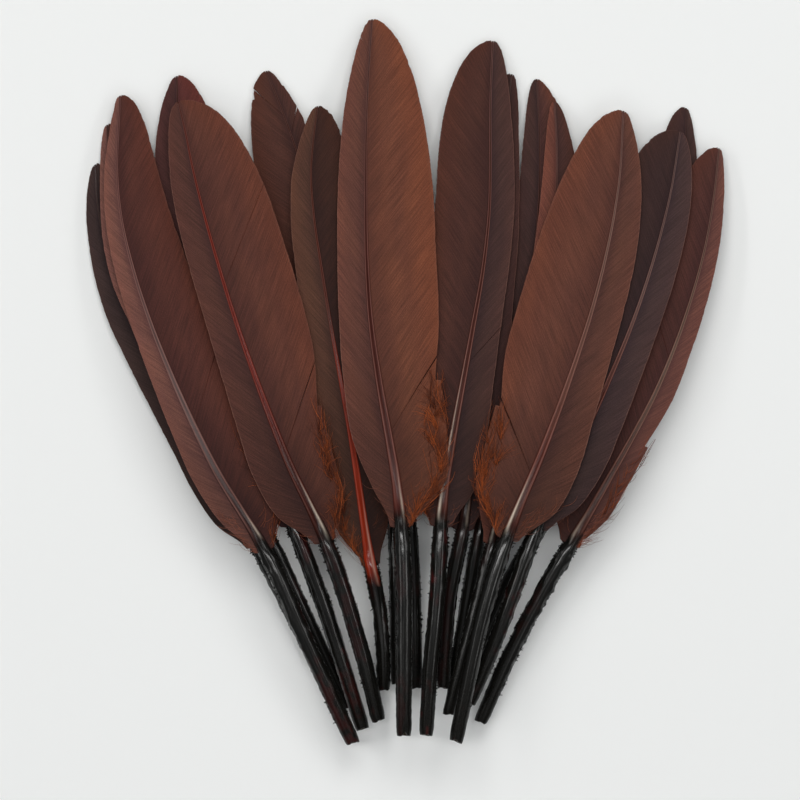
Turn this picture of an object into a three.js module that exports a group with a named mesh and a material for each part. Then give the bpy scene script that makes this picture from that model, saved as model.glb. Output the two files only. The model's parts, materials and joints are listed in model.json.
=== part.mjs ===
// A fan of seventeen loose, uncut wing quills lying in a pile on a flat surface.
// Millimetres, +Z up. The tips point along +Y, the hollow barrel ends along -Y.
// Each quill is a shaft, a narrow vane and a wide vane, and some carry a tuft of down.
import * as THREE from 'three';

// Clearances
const PIECE_GAP = 0.3; // between the pieces of one quill
const PILE_GAP = 0.45; // between one quill and the pile it lies on

// Shaft
const SHAFT_SIDES = 8;
const BARREL_RADIUS = 2.0; // at the thickest place, just below the vanes
const CUT_END_RADIUS = 1.85; // at the open end
const BORE_RADIUS = 1.3; // the barrel is a hollow tube
const ROOT_RADIUS = 1.5; // the solid rachis where the vanes begin
const TIP_RADIUS = 0.28;
const RACHIS_TAPER = 2.1; // 1 is a straight cone, more thins it sooner
const SHAFT_DEPTH = 1.1; // height of the shaft's section over its width
const BARREL_STATIONS = [0, 0.35, 0.6, 0.8, 0.9]; // the bore closes between the last two

// Vanes
const VANE_THICKNESS = 0.7;
const VANE_SEAT = 0.35; // height of the vane's root above the shaft's middle, in shaft radii
const VANE_STATIONS = 12;
const VANE_END = 0.992; // the vane stops this far along, measured from its base
const BASE_ROUNDING = 0.14; // share of the vane's length in which its base rounds off
const NARROW_ROOT = 1.3; // the narrow vane's width near its base, as a share of that at mid length
const TIPS = { // rounding is the share of the vane's length in which its tip rounds off
  round: { rounding: 0.45, power: 0.6 },
  blunt: { rounding: 0.34, power: 0.52 },
};
const TIP_FULLNESS = 2.2;
const LEAST_WIDTH = 0.35;
const DROOP = 1.3; // how far the edge of the widest vane hangs below its root
const WIDEST_VANE = 17;
const ARCH = 2.2; // rise of the vaned part of the bottom quill, whose barrel lies flat
const BOW = 8; // rise of the middle of every other quill above the line between its ends

// Down
const TUFT_REACH = 0.34; // share of the vane's length that the down covers

// Pile
const CELL = 0.5; // grid pitch of the pile's height map
const PILE_ROWS = 4096; // more cells than the map is long
const STEP = 2; // spacing of the places where a quill can touch the pile
const BALANCE = 0.42; // the centre of mass, as a share of the length from the barrel end

const TONES = {
  chestnut: '#6b4030',
  russet: '#62392c',
  rosewood: '#573029',
  plum: '#4e2e28',
  slate: '#463436',
  barrel: '#191714',
  down: '#7a3f1e',
};

// The quills from the bottom of the pile to the top. path runs from the cut end
// to the tip, seen from above. bare is the length of barrel below the vanes. wide
// and narrow are the vanes' widths at mid length, root is the wide vane's width
// near its base as a share of wide, and wideSide is +1 to the right, -1 to the left.
// narrowBase is the share of its length in which the narrow vane's base rounds off.
const QUILLS = [
  {
    path: [
      [-21.9, -70], [-36.6, -41], [-48.1, -21], [-64.4, 7.8], [-71.1, 22.8],
      [-76.1, 42.8], [-76.9, 54.3],
    ],
    bare: 32, wide: 12, narrow: 4.6, root: 0.8, wideSide: 1, thick: 0.85, tone: 'slate',
    liesFlat: true,
  },
  {
    path: [
      [-12.9, -82], [-23.3, -60], [-34.9, -36], [-51.9, -11.5], [-60.1, 7.8],
      [-69.9, 30.8], [-72.9, 51.5], [-73.9, 64.3],
    ],
    bare: 51.5, wide: 12, narrow: 3.8, root: 0.8, wideSide: 1, thick: 0.85, tone: 'russet',
  },
  {
    path: [
      [-9.6, -87.5], [-19.9, -54.8], [-27.9, -33.5], [-40.4, 2.8], [-50.4, 32.8],
      [-55.4, 57.8], [-56.4, 76.5],
    ],
    bare: 54, wide: 13, narrow: 8.2, root: 0.7, wideSide: 1, thick: 1, tone: 'rosewood',
  },
  {
    path: [
      [-1, -76.3], [-1.4, -58], [-1.6, -40], [-4.2, -12.3], [-12.6, 17.8],
      [-22.9, 47.8], [-29.6, 67], [-33.9, 77.8],
    ],
    bare: 42, wide: 13.2, narrow: 6, root: 0.85, wideSide: -1, thick: 0.85, tone: 'plum',
  },
  {
    path: [
      [3.7, -77.3], [3.3, -60], [2.6, -42], [0, -18], [-4, 15],
      [-6.4, 42], [-6.9, 60],
    ],
    bare: 46, wide: 10, narrow: 4.5, root: 0.7, wideSide: 1, thick: 0.85, tone: 'rosewood',
  },
  {
    path: [
      [16.4, -74], [26.9, -50], [36.6, -33.5], [55.9, 0.3], [67.1, 30.3],
      [71.1, 52.8], [71.4, 68.5],
    ],
    bare: 46, wide: 10.5, narrow: 4, root: 0.8, wideSide: -1, thick: 0.9, tone: 'plum',
  },
  {
    path: [
      [19.6, -85.8], [28, -66.6], [33.3, -56.4], [38.3, -47.3], [42.4, -40.5],
      [49.4, -28.5], [64.9, 0.3], [74.4, 27.3], [77.9, 44], [79.6, 58.3],
    ],
    bare: 50, wide: 13, narrow: 3.5, root: 0.8, wideSide: -1, thick: 0.95, tone: 'russet',
    tuftSide: 1, tuftWidth: 1.6,
  },
  {
    path: [
      [12.9, -76], [19.6, -37.3], [28.4, 2.8], [33.9, 37.8], [34.6, 60.3],
      [33.9, 75.8],
    ],
    bare: 39, wide: 11.3, narrow: 5.2, root: 0.8, wideSide: 1, thick: 0.85, tone: 'plum',
  },
  {
    path: [
      [10.4, -77.3], [12, -54], [15, -38.5], [20.9, 2.8], [24.6, 37.8],
      [25.9, 60.3], [27.6, 77],
    ],
    bare: 40, wide: 12, narrow: 4.2, root: 0.8, wideSide: -1, thick: 0.9, tone: 'plum',
  },
  {
    path: [
      [-4.4, -77.8], [-4.8, -64.8], [-5.9, -54.8], [-7.9, -44.8], [-12.4, -14.8],
      [-18.1, 16.8], [-22.6, 50.3], [-21.1, 68.8],
    ],
    bare: 32, wide: 13.5, narrow: 6, root: 0.4, wideSide: 1, thick: 0.85, tone: 'chestnut',
    tuftSide: -1, tuftWidth: 2.4,
  },
  {
    path: [
      [-11.9, -91], [-24.1, -64.3], [-33.4, -43.5], [-47.6, -19.8], [-64.4, 19.5],
      [-70.8, 46.3], [-70.6, 71.5],
    ],
    bare: 53, wide: 13, narrow: 4, root: 0.85, wideSide: 1, thick: 1, tone: 'russet',
    tuftSide: 1, tuftWidth: 2.6,
  },
  {
    path: [
      [11.6, -83.8], [22.6, -41], [30.9, -4.8], [37.6, 32.8], [38.9, 55.3],
      [38.4, 70],
    ],
    bare: 44, wide: 6.4, narrow: 4, root: 0.8, wideSide: 1, thick: 0.85, tone: 'rosewood',
  },
  {
    path: [
      [16.6, -81], [24.5, -62], [35.9, -31], [45.1, -13.8], [58.1, 15.8],
      [66.6, 44], [69.9, 62.5],
    ],
    bare: 47, wide: 14, narrow: 5.9, root: 0.8, wideSide: -1, thick: 0.95, tone: 'slate',
    tuftSide: -1, tuftWidth: 2, tip: 'blunt',
  },
  {
    path: [
      [6.1, -88.8], [7.6, -66], [8.8, -54.8], [9.5, -41], [10.3, -29.8],
      [13.1, -12.3], [17.3, 10.3], [21.6, 37.8], [22.3, 70.3], [22.9, 85.5],
    ],
    bare: 52, wide: 12.9, narrow: 5.6, root: 0.85, wideSide: -1, thick: 0.98, tone: 'plum',
    tuftSide: -1, tuftWidth: 2, tip: 'blunt',
  },
  {
    path: [
      [-5.6, -85.3], [-11.1, -63.3], [-19.1, -39.3], [-27.9, -20.8], [-40.6, 12.8],
      [-50.9, 47.8], [-54.3, 63.5], [-55.8, 69.8],
    ],
    bare: 47, wide: 16.6, narrow: 6.5, root: 0.6, wideSide: 1, thick: 1, tone: 'russet',
    tuftSide: 1, tuftWidth: 2.4, tip: 'blunt',
  },
  {
    path: [
      [13.4, -90.3], [20.6, -57], [26.4, -38.5], [36.9, -13], [48.3, 20.6],
      [54.1, 47.8], [55.6, 67.8],
    ],
    bare: 52, wide: 17.3, narrow: 7, root: 0.76, wideSide: -1, thick: 1, tone: 'russet',
    tuftSide: -1, tuftWidth: 2.8,
  },
  {
    path: [
      [0.6, -89], [-0.2, -34.8], [-5.7, 0.3], [-8.2, 20.3], [-8.9, 45.3],
      [-8.6, 70], [-7.4, 91],
    ],
    bare: 52, wide: 16.6, narrow: 6.5, root: 0.86, wideSide: 1, thick: 1.03, tone: 'chestnut',
    narrowBase: 0.23, tuftSide: 1, tuftWidth: 3.4,
  },
];

// ---------------------------------------------------------------- one quill's shape

function mix(from, to, share) {
  return from + (to - from) * share;
}

// Turns a quill's path into a frame of its own: forward runs along the chord from
// the cut end to the tip, and sideways(forward) is how far the shaft bows off it.
function chordFrame(path) {
  const points = path.map(([x, y]) => new THREE.Vector3(x, y, 0));
  const curve = new THREE.CatmullRomCurve3(points, false, 'centripetal');
  const start = points[0];
  const chord = points[points.length - 1].clone().sub(start);
  const length = chord.length();
  const along = chord.clone().normalize();
  const across = new THREE.Vector3(along.y, -along.x, 0);
  const bow = curve.getPoints(90).map((point) => {
    const offset = point.sub(start);
    return { forward: offset.dot(along), sideways: offset.dot(across) };
  });
  const sideways = (forward) => {
    const found = bow.findIndex((place) => place.forward >= forward);
    const next = found < 0 ? bow.length - 1 : Math.max(1, found);
    const a = bow[next - 1];
    const b = bow[next];
    return mix(a.sideways, b.sideways, (forward - a.forward) / (b.forward - a.forward));
  };
  return { start, length, sideways, heading: Math.atan2(-chord.x, chord.y) };
}

// Half the shaft's width at a place along the chord.
function shaftRadius(quill, forward) {
  if (forward <= quill.bare) {
    const share = forward / quill.bare;
    return quill.thick * mix(CUT_END_RADIUS, BARREL_RADIUS, Math.min(1, share / 0.9));
  }
  const share = (forward - quill.bare) / (quill.length - quill.bare);
  return quill.thick * mix(TIP_RADIUS, ROOT_RADIUS, (1 - share) ** RACHIS_TAPER);
}

// Height of the middle of the shaft above the line of its belly.
function spineHeight(quill, forward) {
  const flatSide = Math.cos(Math.PI / SHAFT_SIDES);
  const belly = shaftRadius(quill, forward) * SHAFT_DEPTH * flatSide;
  if (quill.liesFlat) {
    return belly + ARCH * Math.sin(Math.PI * Math.max(0, vaneShare(quill, forward))) ** 2;
  }
  const share = forward / quill.length;
  return belly + BOW * 4 * share * (1 - share);
}

// Width of a vane, from the shaft to its edge, share being 0 at its base and 1 at its tip.
function vaneWidth(quill, side, share) {
  const isWide = side === quill.wideSide;
  const widest = isWide ? quill.wide : quill.narrow;
  const rootShare = isWide ? quill.root : NARROW_ROOT;
  const body = mix(rootShare, 1, THREE.MathUtils.smoothstep(share, 0.08, 0.55));
  const baseLength = isWide ? BASE_ROUNDING : quill.narrowBase ?? BASE_ROUNDING;
  const base = Math.sin((Math.PI / 2) * Math.min(1, share / baseLength));
  const { rounding, power } = TIPS[quill.tip ?? 'round'];
  const tipShare = Math.max(0, (share - 1 + rounding) / rounding);
  const tip = (1 - Math.min(1, tipShare) ** TIP_FULLNESS) ** power;
  return Math.max(LEAST_WIDTH, widest * body * base * tip);
}

// Height of the middle of a vane above the belly line, at a distance out from the shaft.
function vaneHeight(quill, forward, out) {
  const seat = shaftRadius(quill, forward) * VANE_SEAT;
  return spineHeight(quill, forward) + seat - DROOP * (out / WIDEST_VANE) ** 2;
}

function vaneShare(quill, forward) {
  return (forward - quill.bare) / (quill.length - quill.bare);
}

function vaneForward(quill, share) {
  return mix(quill.bare, quill.length, share);
}

// Where the sections stand along the vanes, closer together at both ends.
function vaneStations() {
  const shares = [];
  for (let i = 0; i <= VANE_STATIONS; i += 1) {
    shares.push(VANE_END * (0.5 - 0.5 * Math.cos((Math.PI * i) / VANE_STATIONS)) ** 0.9);
  }
  return shares;
}

// ---------------------------------------------------------------- closed meshes

function meshGeometry(points, faces) {
  const geometry = new THREE.BufferGeometry();
  geometry.setAttribute('position', new THREE.Float32BufferAttribute(points.flat(), 3));
  geometry.setIndex(faces.flat());
  geometry.computeVertexNormals();
  return geometry;
}

// Skins a run of rings with equal numbers of points and closes both ends with a fan.
// The rings turn anticlockwise as seen from the far end of the run.
function skinRings(rings) {
  const count = rings[0].length;
  const points = rings.flat();
  const faces = [];
  for (let ring = 0; ring + 1 < rings.length; ring += 1) {
    for (let i = 0; i < count; i += 1) {
      const a = ring * count + i;
      const b = ring * count + ((i + 1) % count);
      faces.push([a, b, b + count], [a, b + count, a + count]);
    }
  }
  const last = (rings.length - 1) * count;
  for (let i = 1; i + 1 < count; i += 1) {
    faces.push([0, i + 1, i], [last, last + i, last + i + 1]);
  }
  return meshGeometry(points, faces);
}

// A ring of the shaft's section, square to the chord.
function shaftRing(quill, forward, radius) {
  const ring = [];
  for (let i = 0; i < SHAFT_SIDES; i += 1) {
    const turn = ((i + 0.5) / SHAFT_SIDES) * 2 * Math.PI;
    const x = quill.sideways(forward) - radius * Math.cos(turn);
    const z = spineHeight(quill, forward) + radius * SHAFT_DEPTH * Math.sin(turn);
    ring.push([x, forward, z]);
  }
  return ring;
}

// The shaft is one piece of keratin: a hollow barrel, open where it was cut, and a solid rachis.
function shaftGeometry(quill) {
  const bore = BORE_RADIUS * quill.thick;
  const barrel = BARREL_STATIONS.map((share) => share * quill.bare);
  const [boreEnd, ...boreWall] = [...barrel].reverse();
  const rings = [shaftRing(quill, boreEnd, bore * 0.6)];
  boreWall.forEach((forward) => rings.push(shaftRing(quill, forward, bore)));
  const rachis = [...vaneStations(), 1].map((share) => vaneForward(quill, share));
  for (const forward of [...barrel, ...rachis]) {
    rings.push(shaftRing(quill, forward, shaftRadius(quill, forward)));
  }
  return skinRings(rings);
}

// Closes a thin plate given as rows that run outwards, each row a list of [x, y, z]
// on the plate's middle surface.
function plateGeometry(rows, side) {
  const count = rows[0].length;
  const half = VANE_THICKNESS / 2;
  const top = rows.flat().map(([x, y, z]) => [x, y, z + half]);
  const bottom = rows.flat().map(([x, y, z]) => [x, y, z - half]);
  const under = top.length;
  const faces = [];
  const quad = (a, b, c, d) => faces.push([a, b, c], [a, c, d]);
  for (let row = 0; row + 1 < rows.length; row += 1) {
    for (let i = 0; i + 1 < count; i += 1) {
      const a = row * count + i;
      quad(a, a + 1, a + 1 + count, a + count);
      quad(under + a, under + a + count, under + a + 1 + count, under + a + 1);
    }
    const root = row * count;
    const edge = root + count - 1;
    quad(root, root + count, under + root + count, under + root);
    quad(edge + count, edge, under + edge, under + edge + count);
  }
  const last = (rows.length - 1) * count;
  for (let i = 0; i + 1 < count; i += 1) {
    quad(i + 1, i, under + i, under + i + 1);
    quad(last + i, last + i + 1, under + last + i + 1, under + last + i);
  }
  const facing = side > 0 ? faces : faces.map(([a, b, c]) => [a, c, b]);
  return meshGeometry([...top, ...bottom], facing);
}

// Distance from the shaft's middle to a vane's edge, and to the edge left when down grows there.
function vaneEdge(quill, side, share) {
  const inner = shaftRadius(quill, vaneForward(quill, share)) + PIECE_GAP;
  const reach = inner + vaneWidth(quill, side, share);
  if (quill.tuftSide !== side || share >= TUFT_REACH) {
    return reach;
  }
  return reach - tuftWidth(quill, side, share) - PIECE_GAP;
}

function tuftWidth(quill, side, share) {
  const room = vaneWidth(quill, side, share) - LEAST_WIDTH - PIECE_GAP;
  const swell = Math.sin(Math.PI * Math.min(1, share / TUFT_REACH)) ** 0.7;
  return Math.max(0, Math.min(quill.tuftWidth * swell, room));
}

function vaneGeometry(quill, side) {
  const rows = vaneStations().map((share) => {
    const forward = vaneForward(quill, share);
    const inner = shaftRadius(quill, forward) + PIECE_GAP;
    const outer = Math.max(inner + LEAST_WIDTH, vaneEdge(quill, side, share));
    return [0, 0.5, 1].map((out) => {
      const reach = mix(inner, outer, out);
      return [quill.sideways(forward) + side * reach, forward, vaneHeight(quill, forward, reach)];
    });
  });
  return plateGeometry(rows, side);
}

function tuftGeometry(quill, side) {
  const covered = vaneStations().filter((share) => share > 0 && share < TUFT_REACH);
  const rows = covered.map((share) => {
    const forward = vaneForward(quill, share);
    const inner = vaneEdge(quill, side, share) + PIECE_GAP;
    const outer = inner + tuftWidth(quill, side, share);
    return [inner, outer].map((reach) => {
      const x = quill.sideways(forward) + side * reach;
      return [x, forward, vaneHeight(quill, forward, reach)];
    });
  });
  return plateGeometry(rows, side);
}

// ---------------------------------------------------------------- the pile

const pile = new Map();

function cellOf(x, y) {
  return x * PILE_ROWS + y;
}

function heightAround(x, y) {
  let height = 0;
  for (let i = -1; i <= 1; i += 1) {
    for (let j = -1; j <= 1; j += 1) {
      height = Math.max(height, pile.get(cellOf(x + i, y + j)) ?? 0);
    }
  }
  return height;
}

// The middle height and half the thickness of a quill at a distance to the right of its shaft.
function sectionAt(quill, forward, offset) {
  const radius = shaftRadius(quill, forward);
  const distance = Math.abs(offset);
  if (distance <= radius) {
    const round = Math.sqrt(radius ** 2 - distance ** 2);
    const flat = radius * Math.cos(Math.PI / SHAFT_SIDES);
    const seat = forward > quill.bare ? VANE_THICKNESS / 2 : 0;
    const half = Math.max(SHAFT_DEPTH * Math.min(round, flat), seat);
    return { middle: spineHeight(quill, forward), half };
  }
  return { middle: vaneHeight(quill, forward, distance), half: VANE_THICKNESS / 2 };
}

// Places on a quill's underside and back, with the cell of the height map over which each lies.
function surfacePlaces(quill) {
  const places = [];
  const up = new THREE.Vector3(0, 0, 1);
  for (let forward = 0; forward <= quill.length; forward += CELL) {
    const share = Math.max(0, vaneShare(quill, forward));
    const radius = shaftRadius(quill, forward);
    const vaneReach = (side) => radius + PIECE_GAP + vaneWidth(quill, side, share);
    const reachOf = (side) => (forward > quill.bare ? vaneReach(side) : radius);
    const right = reachOf(1);
    for (let offset = -reachOf(-1); offset < right + CELL / 2; offset += CELL / 2) {
      const across = Math.min(offset, right);
      const { middle, half } = sectionAt(quill, forward, across);
      const place = new THREE.Vector3(quill.sideways(forward) + across, forward, 0);
      place.applyAxisAngle(up, quill.heading).add(quill.start);
      places.push({
        x: Math.round(place.x / CELL),
        y: Math.round(place.y / CELL),
        forward,
        under: middle - half,
        back: middle + half,
      });
    }
  }
  return places;
}

// A stiff quill rests on two places, one on each side of its centre of mass. Of all such
// pairs, the one that holds the centre of mass highest is the one it lies on.
function restingLine(quill, places) {
  const needed = new Map();
  for (const place of places) {
    const station = Math.round(place.forward / STEP) * STEP;
    const floor = heightAround(place.x, place.y);
    const height = floor + (floor > 0 ? PILE_GAP : 0) - place.under;
    needed.set(station, Math.max(height, needed.get(station) ?? -Infinity));
  }
  const balance = quill.length * BALANCE;
  let best = { height: -Infinity, lift: 0, slope: 0 };
  for (const [a, heightA] of needed) {
    for (const [b, heightB] of needed) {
      if (a <= balance && b > balance) {
        const slope = (heightB - heightA) / (b - a);
        const height = heightA + slope * (balance - a);
        if (height > best.height + 1e-9) {
          best = { height, lift: heightA - slope * a, slope };
        }
      }
    }
  }
  return best;
}

// Lays a quill on the pile and adds it to the height map.
function layOnPile(quill) {
  const places = surfacePlaces(quill);
  const { lift, slope } = restingLine(quill, places);
  for (const place of places) {
    const cell = cellOf(place.x, place.y);
    const back = lift + slope * place.forward + place.back;
    pile.set(cell, Math.max(back, pile.get(cell) ?? 0));
  }
  return { lift, slope };
}

// ---------------------------------------------------------------- the assembly

function toned(name, geometry, tone, roughness) {
  const material = new THREE.MeshStandardMaterial({ color: TONES[tone], roughness, metalness: 0 });
  const mesh = new THREE.Mesh(geometry, material);
  mesh.name = name;
  return mesh;
}

function quillGroup(entry, index) {
  const quill = { ...entry, ...chordFrame(entry.path) };
  const name = `quill_${String(index + 1).padStart(2, '0')}`;
  const group = new THREE.Group();
  group.add(toned(`${name}_shaft`, shaftGeometry(quill), 'barrel', 0.3));
  group.add(toned(`${name}_wide_vane`, vaneGeometry(quill, quill.wideSide), quill.tone, 0.75));
  group.add(toned(`${name}_narrow_vane`, vaneGeometry(quill, -quill.wideSide), quill.tone, 0.7));
  if (quill.tuftSide) {
    group.add(toned(`${name}_down_tuft`, tuftGeometry(quill, quill.tuftSide), 'down', 0.95));
  }
  const { lift, slope } = layOnPile(quill);
  group.rotation.set(Math.atan(slope), 0, quill.heading, 'ZXY');
  group.position.set(quill.start.x, quill.start.y, lift);
  return group;
}

const fan = new THREE.Group();
QUILLS.forEach((entry, index) => fan.add(quillGroup(entry, index)));

// The frame's origin is at the middle of the underside of the whole fan's box.
fan.updateMatrixWorld(true);
const box = new THREE.Box3().setFromObject(fan, true);
const middle = box.getCenter(new THREE.Vector3());
fan.position.set(-middle.x, -middle.y, -box.min.z);

export default fan;
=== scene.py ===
"""A fan of loose, uncut wing quills with dyed vanes, hollow black barrels and rust-coloured down.

Each quill's centreline, vane outlines and camber are read from its CAD solids. Lengths are in
millimetres until a mesh is made. A quill's own axes are right, forward (to its tip) and up.
"""

import json
import math

import bpy
import numpy as np
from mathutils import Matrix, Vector

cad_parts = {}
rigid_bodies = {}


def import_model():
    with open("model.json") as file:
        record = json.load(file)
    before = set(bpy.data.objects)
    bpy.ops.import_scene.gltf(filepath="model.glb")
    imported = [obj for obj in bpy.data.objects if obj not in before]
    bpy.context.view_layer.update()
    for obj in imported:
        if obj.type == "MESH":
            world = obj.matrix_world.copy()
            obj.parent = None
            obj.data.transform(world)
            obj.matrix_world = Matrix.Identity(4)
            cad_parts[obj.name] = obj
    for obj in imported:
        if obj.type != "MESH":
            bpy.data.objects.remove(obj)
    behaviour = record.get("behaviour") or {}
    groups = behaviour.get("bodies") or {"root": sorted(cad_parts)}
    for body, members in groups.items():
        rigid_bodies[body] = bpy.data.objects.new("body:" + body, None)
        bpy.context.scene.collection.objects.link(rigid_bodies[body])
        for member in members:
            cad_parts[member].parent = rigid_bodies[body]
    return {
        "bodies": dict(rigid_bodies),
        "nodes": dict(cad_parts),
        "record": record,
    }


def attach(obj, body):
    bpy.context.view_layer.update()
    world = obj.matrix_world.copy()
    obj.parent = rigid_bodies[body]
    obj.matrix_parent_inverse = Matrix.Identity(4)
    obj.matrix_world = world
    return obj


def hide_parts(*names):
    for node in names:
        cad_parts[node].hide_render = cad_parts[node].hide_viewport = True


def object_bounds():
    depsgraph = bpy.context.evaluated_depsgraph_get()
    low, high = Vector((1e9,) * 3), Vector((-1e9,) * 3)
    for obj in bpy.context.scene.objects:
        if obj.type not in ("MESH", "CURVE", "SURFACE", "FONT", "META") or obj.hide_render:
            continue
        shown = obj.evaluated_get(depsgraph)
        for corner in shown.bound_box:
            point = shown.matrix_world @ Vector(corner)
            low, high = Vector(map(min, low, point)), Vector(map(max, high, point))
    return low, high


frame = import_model()
CAD_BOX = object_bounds()

MM = 0.001
SLOTS = {part["node"]: part["material_slot"] for part in frame["record"]["subparts"]}

# ---------------------------------------------------------------- what each quill looks like

# wide, narrow: sRGB colours of the two vanes at mid length.
# rachis: sRGB colours of the shaft at shares of the vane's length, 0 at its base, 1 at its tip.
# dye_end: where the black of the barrel stops, as a share of the vane's length.
# groove: depth of the groove along the top of the rachis.
# shoulders: strength of the painted highlights, pale lines on the shoulders beside the groove.
# gleam: painted highlight, a pale streak at the foot of the rachis, as (side, strength, share of length
# it covers).
# red: how much dark red shows through the black dye of the barrel.
# crust: how much torn barb and dried dye clings to the barrel.
# notch: depth in mm of the notch torn in the upper side of the cut end.
# nicks: depth in mm of the nicks in the vanes' edges.
# splits: places along the vanes, as (side, share of length, opening in mm, depth from the edge).
# wisps: how many loose barbs there are at the vanes' base, left and right.
# down: how full the tuft is.
LOOKS = {
    "quill_01": dict(
        wide=(54, 40, 38), narrow=(63, 48, 46),
        rachis=[(0, (40, 26, 24)), (1, (58, 44, 42))],
    ),
    "quill_02": dict(
        wide=(80, 50, 43), narrow=(118, 80, 72),
        rachis=[(0, (50, 28, 24)), (1, (80, 50, 44))],
    ),
    "quill_03": dict(
        wide=(90, 47, 44), narrow=(72, 43, 41),
        rachis=[(0, (60, 24, 20)), (1, (70, 38, 35))],
        red=0.5, crust=0.5,
    ),
    "quill_04": dict(
        wide=(78, 47, 39), narrow=(72, 44, 38),
        rachis=[(0, (60, 28, 22)), (1, (80, 47, 40))],
        nicks=3.0, splits=[(-1, 0.9, 0.8, 0.6), (1, 0.86, 0.6, 0.5)],
    ),
    "quill_05": dict(
        wide=(76, 44, 40), narrow=(72, 42, 38),
        rachis=[(0, (54, 26, 22)), (1, (74, 44, 40))],
    ),
    "quill_06": dict(
        wide=(64, 43, 41), narrow=(70, 49, 45),
        rachis=[(0, (50, 26, 24)), (1, (62, 42, 40))],
    ),
    "quill_07": dict(
        wide=(80, 47, 41), narrow=(104, 66, 58),
        rachis=[(0, (70, 34, 27)), (0.25, (96, 62, 52)), (0.5, (122, 96, 83)), (1, (96, 70, 62))],
        shoulders=0.45, gleam=(-1, 0.4, 0.12), crust=1.0, splits=[(-1, 0.5, 0.2, 0.4)], wisps=(10, 60),
        down=0.2,
    ),
    "quill_08": dict(
        wide=(84, 51, 44), narrow=(64, 42, 39),
        rachis=[(0, (54, 26, 22)), (1, (74, 46, 41))],
    ),
    "quill_09": dict(
        wide=(57, 34, 31), narrow=(61, 38, 35),
        rachis=[(0, (50, 25, 21)), (1, (60, 38, 34))],
    ),
    "quill_10": dict(
        wide=(59, 35, 28), narrow=(84, 55, 43),
        rachis=[
            (0, (158, 46, 20)), (0.2, (168, 50, 22)), (0.45, (136, 40, 20)), (0.53, (94, 44, 34)),
            (1, (84, 48, 39)),
        ],
        dye_end=-0.03, groove=0.5, gleam=(1, 0.3, 0.2), crust=0.9, wisps=(18, 6), down=0.6,
    ),
    "quill_11": dict(
        wide=(82, 46, 39), narrow=(114, 75, 66),
        rachis=[
            (0, (50, 26, 24)), (0.12, (74, 52, 50)), (0.4, (126, 98, 94)), (0.75, (118, 80, 75)),
            (1, (96, 58, 53)),
        ],
        groove=0.25, shoulders=0.55, gleam=(1, 0.6, 0.12), red=0.5, crust=0.8,
        splits=[(1, 0.3, 0.25, 0.5)], wisps=(45, 14), down=0.35,
    ),
    "quill_12": dict(
        wide=(70, 43, 38), narrow=(104, 61, 50),
        rachis=[(0, (54, 27, 22)), (1, (96, 62, 55))],
        gleam=(-1, 0.5, 0.14), crust=0.9,
    ),
    "quill_13": dict(
        wide=(58, 39, 37), narrow=(68, 50, 49),
        rachis=[(0, (84, 34, 27)), (0.35, (96, 48, 39)), (0.6, (120, 93, 87)), (1, (80, 62, 59))],
        shoulders=0.4, gleam=(-1, 0.7, 0.14), red=0.6, crust=0.7, down=0.6,
    ),
    "quill_14": dict(
        wide=(74, 44, 37), narrow=(70, 47, 43),
        rachis=[(0, (86, 44, 36)), (0.3, (88, 48, 41)), (0.6, (84, 45, 38)), (1, (76, 47, 42))],
        groove=0.9, shoulders=0.5, gleam=(-1, 0.75, 0.4), red=1.0, splits=[(1, 0.34, 0.25, 0.7)],
        wisps=(6, 4), down=0.6,
    ),
    "quill_15": dict(
        wide=(92, 54, 44), narrow=(82, 51, 44),
        rachis=[
            (0, (60, 27, 22)), (0.2, (78, 31, 23)), (0.4, (128, 40, 29)), (0.75, (126, 45, 34)),
            (1, (90, 48, 40)),
        ],
        gleam=(1, 0.75, 0.18), red=0.3, splits=[(1, 0.22, 0.16, 0.4), (1, 0.6, 0.12, 0.5)],
        wisps=(6, 16), down=0.6,
    ),
    "quill_16": dict(
        wide=(98, 59, 47), narrow=(92, 58, 48),
        rachis=[
            (0, (76, 36, 28)), (0.2, (98, 45, 36)), (0.35, (122, 79, 68)), (0.7, (128, 97, 86)),
            (1, (94, 61, 53)),
        ],
        shoulders=0.5, gleam=(-1, 0.75, 0.2), red=0.2, crust=0.5, notch=0.6,
        splits=[(-1, 0.16, 0.15, 0.6)], wisps=(16, 50), down=0.9,
    ),
    "quill_17": dict(
        wide=(108, 64, 48), narrow=(98, 61, 51),
        rachis=[(0, (98, 38, 30)), (0.15, (86, 40, 33)), (0.6, (82, 42, 36)), (1, (82, 46, 38))],
        shoulders=0.45, gleam=(1, 0.5, 0.14), notch=0.9,
        splits=[(1, 0.19, 0.3, 0.75), (1, 0.62, 0.1, 0.5), (-1, 0.93, 0.3, 0.5)], wisps=(4, 10),
    ),
}
DEFAULTS = dict(
    dye_end=0.02, groove=0.7, shoulders=0.26, gleam=(1, 0.4, 0.1), red=0.2, crust=0.5,
    notch=0.25, nicks=0.5, splits=[], wisps=(5, 5), down=1.0,
)

# More sRGB colours
BARREL_BLACK = (16, 15, 13)
BARREL_RED = (64, 20, 19)
BORE_BROWN = (58, 50, 40)
SHOULDER_HIGHLIGHT_PINK = (158, 112, 102)  # painted highlights on the shoulders beside the groove
CREAM_HIGHLIGHT = (222, 208, 190)  # painted highlight at the foot of the rachis
VANE_RIM = (150, 108, 94)
WISP_RUST = (150, 84, 56)
RUST_DARK = (70, 28, 14)
RUST_BRIGHT = (186, 92, 42)
DYE_DEPTH = 0.88  # the colours of LOOKS are those of quills in bright light

# Vane sheets
BARB_PITCH = 0.72  # along the rachis
SHEET_THICKNESS = 0.26
RIDGE = 0.05  # height of a barb above the groove beside it
SPLIT_REACH = 5.0  # how far along the vane the barbs beside a split lean away from it
# places of the sheet's points along a barb, as shares of its length
COLUMNS = np.array(
    [0, 0.03, 0.08, 0.15, 0.24, 0.34, 0.45, 0.56, 0.67, 0.77, 0.86, 0.93, 0.97, 0.99, 1.0]
)

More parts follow.
